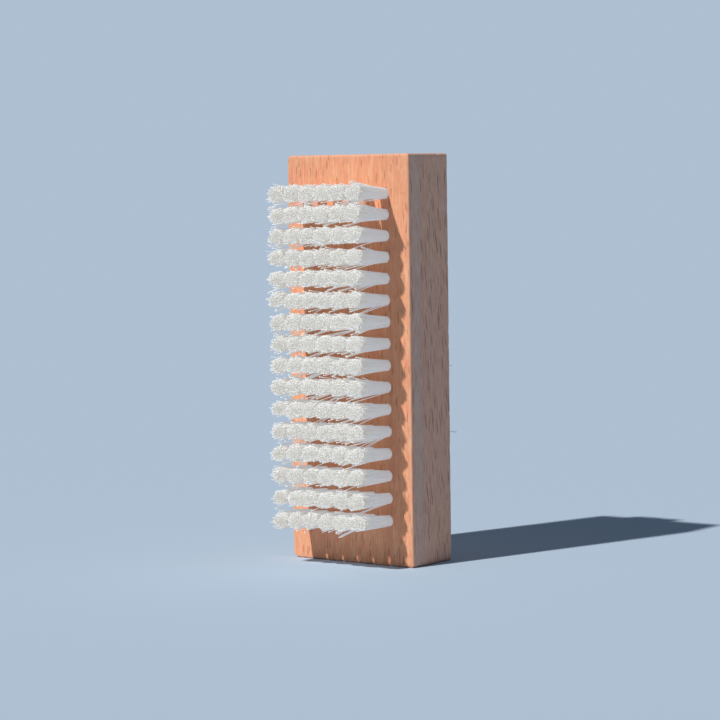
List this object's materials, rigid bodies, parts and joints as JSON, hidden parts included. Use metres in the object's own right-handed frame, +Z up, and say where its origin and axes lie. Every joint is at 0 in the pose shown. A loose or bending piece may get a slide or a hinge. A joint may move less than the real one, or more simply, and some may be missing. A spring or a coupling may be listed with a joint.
{
  "type": "nail brush",
  "caption": "Double-sided nail brush: a plain rectangular beech block with short nylon bristle tufts set in drilled holes, a wide field on one face and a narrow strip on the other.",
  "frame": {"origin": "centre of the block's bottom end face, which the brush stands on", "axes": "+Z up along the block's length, front face with the wide bristle field towards -Y, +X to the right seen from the front"},
  "size_m": [0.0354, 0.0373, 0.095],
  "materials": {
    "beech": "bare sanded beech, matte, short dark flecks along the grain",
    "nylon_bristle": "white nylon filament, slightly translucent, rough at the cut tips",
    "anchor_wire": "plain drawn flat wire"
  },
  "bodies": {
    "root": {"block": "beech", "front_anchors": "anchor_wire", "back_anchors": "anchor_wire", "front_tuft_row_01": "nylon_bristle", "front_tuft_row_02": "nylon_bristle", "front_tuft_row_03": "nylon_bristle", "front_tuft_row_04": "nylon_bristle", "front_tuft_row_05": "nylon_bristle", "front_tuft_row_06": "nylon_bristle", "front_tuft_row_07": "nylon_bristle", "front_tuft_row_08": "nylon_bristle", "front_tuft_row_09": "nylon_bristle", "front_tuft_row_10": "nylon_bristle", "front_tuft_row_11": "nylon_bristle", "front_tuft_row_12": "nylon_bristle", "front_tuft_row_13": "nylon_bristle", "front_tuft_row_14": "nylon_bristle", "front_tuft_row_15": "nylon_bristle", "front_tuft_row_16": "nylon_bristle", "back_tuft_row_01": "nylon_bristle", "back_tuft_row_02": "nylon_bristle", "back_tuft_row_03": "nylon_bristle", "back_tuft_row_04": "nylon_bristle", "back_tuft_row_05": "nylon_bristle", "back_tuft_row_06": "nylon_bristle", "back_tuft_row_07": "nylon_bristle", "back_tuft_row_08": "nylon_bristle", "back_tuft_row_09": "nylon_bristle", "back_tuft_row_10": "nylon_bristle", "back_tuft_row_11": "nylon_bristle", "back_tuft_row_12": "nylon_bristle", "back_tuft_row_13": "nylon_bristle", "back_tuft_row_14": "nylon_bristle", "back_tuft_row_15": "nylon_bristle", "back_tuft_row_16": "nylon_bristle"}
  },
  "joints": []
}
